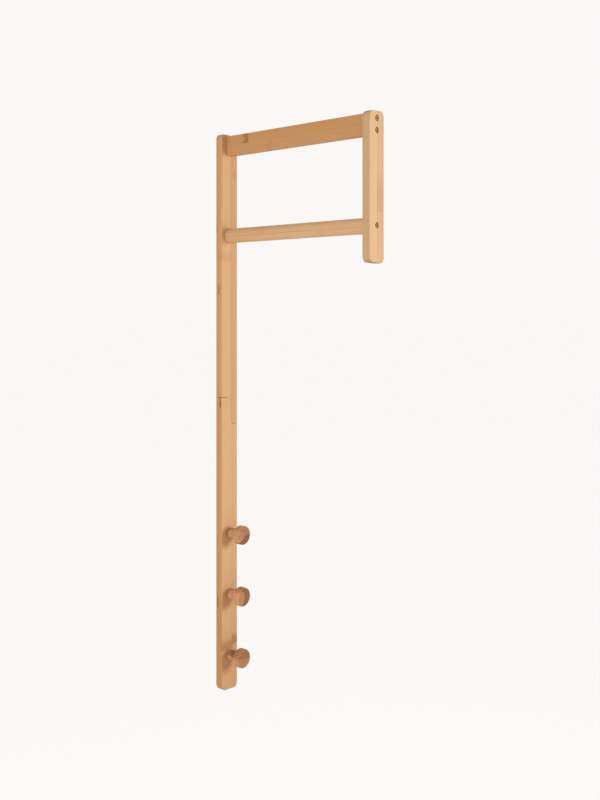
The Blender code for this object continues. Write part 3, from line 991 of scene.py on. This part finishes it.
def slat_strips(node, strip_width, planed=0.0):
    """A slat's strips from its left side and its layers from its front, each as a start and a width."""
    left, _ = grain_span(node, X_AXIS)
    front, _ = grain_span(node, Y_AXIS)
    return (left, strip_width), (front - planed, LAYER_WIDTH)


def slat(name, outline, front, back, lap=None):
    """A slat with eased rims, and finer edges where it is cut for a half lap."""
    shape = extruded(outline, front, back)
    spared = lap_faces(shape, *lap) if lap else ()
    ease(shape, rim_edges(shape, spared), POST_EASE)
    if lap:
        seam = {edge for face in lap_faces(shape, *lap) for edge in face.edges if edge.is_convex}
        ease(shape, seam, SEAM_EASE)
    return add_mesh(name, shape)


def seam_cutter(ends, widths, front, side):
    """Cutter that opens a lap's shoulder from the front, along a line in X and Z. side is 1 up, -1 down."""
    cut_edge = [(x, z + side * width) for (x, z), width in zip(ends, widths)]
    free_edge = [(x, z - side * OVERRUN) for x, z in reversed(ends)]
    return extruded(cut_edge + free_edge, front - OVERRUN, front + OPEN_SEAM_DEPTH)


def lapped_lengths():
    """The two lengths of the tall slat, cut to each other in a half lap."""
    upper_low, upper_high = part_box("back_post_upper")
    lower_low, lower_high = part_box("back_post_lower")
    left = upper_low.x
    right = upper_high.x
    lap = (upper_low.z, lower_high.z)
    foot, top = lap
    cheek_foot = LAP_LEAN / 2
    cheek_top = -LAP_LEAN / 2
    upper_outline = upper_end(left, right, upper_high.z, **POST_TOP) + [
        (left, top + SEAM_GAP),
        (cheek_top + SEAM_GAP / 2, top + SEAM_GAP - LAP_SLANT),
        (cheek_foot + SEAM_GAP / 2, foot),
        (right, foot - LAP_SLANT),
    ]
    lower_outline = lower_end(left, right, lower_low.z, **POST_FOOT) + [
        (right, foot - SEAM_GAP - LAP_SLANT),
        (cheek_foot - SEAM_GAP / 2, foot - SEAM_GAP),
        (cheek_top - SEAM_GAP / 2, top - LAP_SLANT),
        (left, top),
    ]
    upper = slat("back_post_upper_fine", upper_outline, upper_low.y, upper_high.y, lap)
    lower = slat("back_post_lower_fine", lower_outline, lower_low.y, lower_high.y, lap)
    top_seam = ((left - OVERRUN, top), (cheek_top, top - LAP_SLANT))
    foot_seam = ((cheek_foot, foot), (right + OVERRUN, foot - LAP_SLANT))
    carve(lower, [seam_cutter(top_seam, OPEN_TOP_SEAM, lower_low.y, side=-1)])
    carve(upper, [seam_cutter(foot_seam, OPEN_FOOT_SEAM, upper_low.y, side=1)])
    return upper, lower


def keyhole_ends(plate):
    """Heights of a keyhole's entry and of its slot's upper end, about the middle of its plate."""
    low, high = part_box(plate)
    middle = (low.z + high.z) / 2
    return middle - KEYHOLE_TRAVEL / 2, middle + KEYHOLE_TRAVEL / 2


def plate_screw_holes(name):
    """Cutters for the two screws of a keyhole plate."""
    return [countersunk_hole(f"plate_screw_{name}_{end}", PLATE_SCREW_RADII) for end in ("top", "bottom")]


def plate_cutters(name):
    """Cutters in a post for a keyhole plate, the pocket behind it and its two screws."""
    node = "keyhole_plate_" + name
    low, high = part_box(node)
    seat = rounded(low, high, PLATE_CORNER, FIT_GAP)
    pocket = slot_outline(*keyhole_ends(node), POCKET_RADIUS)
    cutters = [
        extruded(seat, low.y - FIT_GAP, high.y + OVERRUN),
        extruded(pocket, high.y - POCKET_DEPTH, high.y + OVERRUN),
    ]
    return cutters + plate_screw_holes(name)


def build_back_post():
    """The tall slat, in two lengths that meet in a half lap."""
    upper, lower = lapped_lengths()
    rear_screws = ("arm_rear_screw_upper", "arm_rear_screw_lower", "rail_rear_screw")
    knob_screws = ("knob_screw_upper", "knob_screw_middle", "knob_screw_lower")
    lap_screws = ("lap_screw_upper", "lap_screw_lower")
    for post, name, screws in ((upper, "upper", rear_screws), (lower, "lower", knob_screws)):
        cutters = [counterbored_hole(node) for node in screws]
        cutters += [countersunk_hole(node, LAP_SCREW_RADII) for node in lap_screws]
        carve(post, cutters + plate_cutters(name))
    upper_wood = bamboo(
        "bamboo_back_upper",
        "XYZ",
        *slat_strips("back_post_upper", UPPER_POST_STRIP),
        strips=UPPER_POST_STRIPS,
        colours=BACK_COLOURS,
        span=grain_span("back_post_upper", Z_AXIS),
    )
    lower_wood = bamboo(
        "bamboo_back_lower",
        "XYZ",
        *slat_strips("back_post_lower", LOWER_POST_STRIP, LOWER_POST_PLANED),
        strips=LOWER_POST_STRIPS,
        colours=BACK_COLOURS,
        span=grain_span("back_post_lower", Z_AXIS),
        # Painted shade: the lower post darkens towards its foot, where the light falls off
        end_darkening=LOWER_POST_PAINTED_FALLOFF,
    )
    dress(upper, "back_post_upper", upper_wood)
    dress(lower, "back_post_lower", lower_wood)


def build_front_post():
    """The short slat at the front, with three counterbored holes."""
    low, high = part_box("front_post")
    outline = upper_end(low.x, high.x, high.z, **FRONT_TOP) + lower_end(low.x, high.x, low.z, **FRONT_TAIL)
    post = slat("front_post_fine", outline, low.y, high.y)
    carve(post, [counterbored_hole(node) for node, facing in SCREW_FACING.items() if facing == "front"])
    wood = bamboo(
        "bamboo_front",
        "XYZ",
        *slat_strips("front_post", FRONT_POST_STRIP),
        strips=FRONT_POST_STRIPS,
        colours=FRONT_COLOURS,
        span=grain_span("front_post", Z_AXIS),
        zone=FRONT_KNUCKLE_ZONE,
    )
    dress(post, "front_post", wood)


def build_arm():
    """The flat arm on edge."""
    low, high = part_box("arm")
    shape = extruded(rounded(low, high, ARM_CORNER), low.y, high.y)
    ease(shape, rim_edges(shape), ARM_END_EASE)
    arm = add_mesh("arm_fine", shape)
    carve(arm, [counterbored_hole(node) for node in SCREW_FACING if node.startswith("arm_")])
    wood = bamboo(
        "bamboo_arm",
        "ZXY",
        equal_strips("arm", Z_AXIS, len(ARM_STRIPS[0])),
        equal_strips("arm", X_AXIS, len(ARM_STRIPS)),
        strips=ARM_STRIPS,
        colours=ARM_COLOURS,
        span=grain_span("arm", Y_AXIS),
        zone=ARM_KNUCKLE_ZONE,
    )
    dress(arm, "arm", wood)


def build_rail():
    """The round rail that hangers go on."""
    low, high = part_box("hanging_rail")
    radius = (high.z - low.z) / 2
    length = high.y - low.y
    rounding = arc_down(radius, 0.0, RAIL_END_EASE)
    outer_end = [(across, height + length) for across, height in rounding]
    inner_end = [(across, -height) for across, height in reversed(rounding)]
    profile = [(0.0, length)] + outer_end + inner_end + [(0.0, 0.0)]
    middle = Vector((0.0, high.y, (low.z + high.z) / 2))
    rail = add_mesh("hanging_rail_fine", turned(profile), Matrix.Translation(middle) @ FACING["front"])
    carve(rail, [counterbored_hole(node) for node in SCREW_FACING if node.startswith("rail_")])
    wood = bamboo(
        "bamboo_rail",
        "ZXY",
        (low.z * MILLIMETRES, RAIL_STRIP),
        equal_strips("hanging_rail", X_AXIS, len(RAIL_STRIPS)),
        strips=RAIL_STRIPS,
        colours=RAIL_COLOURS,
        span=grain_span("hanging_rail", Y_AXIS)[::-1],
        end_darkening=RAIL_END_DARKENING,
        glue=RAIL_GLUE_SHARE,
    )
    dress(rail, "hanging_rail", wood)


def knob_profile(length):
    """Radius and height of a knob, from its crown back to the post."""
    front = length - KNOB_CROWN
    head_start = front - KNOB_HEAD_LENGTH
    stem_end = KNOB_STEM_LENGTH - FIT_GAP
    neck = KNOB_HEAD_RADIUS - KNOB_BACK_ROUND
    points = [(0.0, length)]
    points += arc_down(KNOB_HEAD_RADIUS, front, KNOB_FRONT_ROUND)
    points += arc((neck, head_start + KNOB_BACK_ROUND), KNOB_BACK_ROUND, 0, KNOB_BACK_TURN)
    for step in range(1, FLARE_STEPS + 1):
        share = 1.0 - step / FLARE_STEPS
        widening = 1.0 - math.cos(share * math.pi / 2)
        radius = KNOB_STEM_RADIUS + (neck - KNOB_STEM_RADIUS) * widening
        points.append((radius, stem_end + (head_start - stem_end) * share))
    points += [
        (KNOB_STEM_RADIUS, KNOB_STEM_CHAMFER),
        (KNOB_STEM_RADIUS - KNOB_STEM_CHAMFER, 0.0),
        (0.0, 0.0),
    ]
    return points


def knob_strips(block):
    """The strips of a knob's block, a row for each layer."""
    rows = []
    for tones, strengths in zip(block["tones"], block["shade_and_stain_strengths"]):
        # Each strip carries the block's dark mark: painted shade at the stem's root on the upper and middle
        # knobs, a stain on the lower one
        rows.append([(tone, block["shade_and_stain_place"], strength) for tone, strength in zip(tones, strengths)])
    return rows


def build_knobs():
    """Three turned knobs, each from a block of plies with the glue lines their own way round."""
    radius = KNOB_HEAD_RADIUS * MILLIMETRES
    for name, block in KNOB_BLOCKS.items():
        node = "knob_" + name
        low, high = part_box(node)
        middle = Vector((0.0, high.y, (low.z + high.z) / 2))
        shape = turned(knob_profile(high.y - low.y))
        knob = add_mesh(node + "_fine", shape, Matrix.Translation(middle) @ FACING["front"])
        carve(knob, [counterbored_hole("knob_screw_" + name)])
        across, through = (middle["XYZ".index(axis)] * MILLIMETRES for axis in block["axes"][:2])
        wood = bamboo(
            "bamboo_knob_" + name,
            block["axes"],
            (across - radius, radius + block["joint"]),
            (through - radius, radius + block["top_joint"]),
            strips=knob_strips(block),
            colours=KNOB_COLOURS,
            span=grain_span(node, Y_AXIS),
            bend=(through, block["bow"], block["lean"]),
        )
        dress(knob, node, wood)


def build_plates(material):
    """The two keyhole plates in the back."""
    for name in ("upper", "lower"):
        node = "keyhole_plate_" + name
        low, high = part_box(node)
        shape = extruded(rounded(low, high, PLATE_CORNER), low.y, high.y)
        ease(shape, rim_edges(shape), PLATE_EASE)
        plate = add_mesh(node + "_fine", shape)
        keyhole = extruded(keyhole_outline(*keyhole_ends(node)), low.y - OVERRUN, high.y + OVERRUN)
        carve(plate, [keyhole] + plate_screw_holes(name))
        dress(plate, node, material)


def build_screws(bronze, zinc):
    """Every screw: socket heads in the frame and knobs, countersunk ones in the lap and the plates."""
    for node in SCREW_FACING:
        if node.startswith("lap_"):
            countersunk_screw(node, LAP_SCREW_RADII, zinc)
        elif node.startswith("plate_"):
            countersunk_screw(node, PLATE_SCREW_RADII, zinc)
        else:
            socket_screw(node, bronze)


# Studio

def shown_apart(graph, lighting, shown):
    """One shader for the light that reaches the rack, and another for what camera, metal and glass see."""
    path = graph.nodes.new('ShaderNodeLightPath')
    seen = path.outputs["Is Camera Ray"]
    for name in ("Is Glossy Ray", "Is Transmission Ray"):
        either = graph.node('ShaderNodeMath', {0: seen, 1: path.outputs[name]}, operation='MAXIMUM')
        seen = either.outputs[0]
    return graph.node('ShaderNodeMixShader', {0: seen, 1: lighting, 2: shown}).outputs[0]


def glowing(graph, colour, glow):
    """A matt shader that also gives off some light."""
    matt = graph.node('ShaderNodeBsdfDiffuse', {"Color": colour})
    light = graph.node('ShaderNodeEmission', {"Color": glow})
    return graph.node('ShaderNodeAddShader', {0: matt.outputs[0], 1: light.outputs[0]}).outputs[0]


def build_world():
    """Even warm light from all round, and a pale backdrop for what shows behind the rack."""
    world = bpy.data.worlds.new("studio")
    bpy.context.scene.world = world
    world.use_nodes = True
    graph = Graph(world.node_tree)
    graph.nodes.clear()
    light = graph.node('ShaderNodeBackground', {"Color": AMBIENT_COLOUR, "Strength": AMBIENT_STRENGTH})
    backdrop = graph.node('ShaderNodeBackground', {"Color": BACKDROP})
    surface = shown_apart(graph, light.outputs[0], backdrop.outputs[0])
    graph.node('ShaderNodeOutputWorld', {"Surface": surface})


def build_floor():
    """A pale floor below the rack, which takes its shadow and melts into the backdrop."""
    shape = bmesh.new()
    level = CAD_BOX[0].z - FLOOR_DROP
    corners = ((-1, -1), (1, -1), (1, 1), (-1, 1))
    shape.faces.new([shape.verts.new((x * FLOOR_HALF, y * FLOOR_HALF, level)) for x, y in corners])
    floor = add_mesh("floor", shape)
    material = bpy.data.materials.new("pale_floor")
    material.use_nodes = True
    graph = Graph(material.node_tree)
    graph.nodes.clear()
    lighting = glowing(graph, FLOOR_COLOUR, FLOOR_BOUNCE)
    shown = glowing(graph, FLOOR_SHADED_COLOUR, FLOOR_GLOW)
    graph.node('ShaderNodeOutputMaterial', {"Surface": shown_apart(graph, lighting, shown)})
    floor.data.materials.append(material)


def add_light(name, place, aim, size, power, colour):
    """A square soft light that faces a point."""
    lamp = bpy.data.lights.new(name, 'AREA')
    lamp.shape = 'SQUARE'
    lamp.size = size
    lamp.energy = power
    lamp.color = colour
    light = bpy.data.objects.new(name, lamp)
    light.location = place
    light.visible_camera = False
    light.rotation_euler = (Vector(aim) - Vector(place)).to_track_quat('-Z', 'Y').to_euler()
    bpy.context.scene.collection.objects.link(light)


def build_camera():
    """The photograph's camera: level, with its view shifted down to take in the whole rack."""
    lens = bpy.data.cameras.new("camera")
    lens.sensor_width = SENSOR_WIDTH
    lens.lens = SENSOR_WIDTH * FOCAL_LENGTH_PIXELS / IMAGE_HEIGHT
    lens.shift_y = HORIZON_ROW / IMAGE_HEIGHT - 0.5
    camera = bpy.data.objects.new("camera", lens)
    camera.location = CAMERA_PLACE
    camera.rotation_euler = (math.radians(90), 0.0, math.radians(CAMERA_HEADING))
    bpy.context.scene.collection.objects.link(camera)
    bpy.context.scene.camera = camera


def main():
    """Set up the studio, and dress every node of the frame."""
    build_camera()
    build_world()
    build_floor()
    add_light("key", **KEY_LIGHT)
    add_light("fill", **FILL_LIGHT)
    build_back_post()
    build_front_post()
    build_arm()
    build_rail()
    build_knobs()
    zinc = plating("zinc_plating")
    build_plates(zinc)
    build_screws(plating("bronze_plating"), zinc)
    bpy.context.scene.view_settings.view_transform = 'Standard'


main()
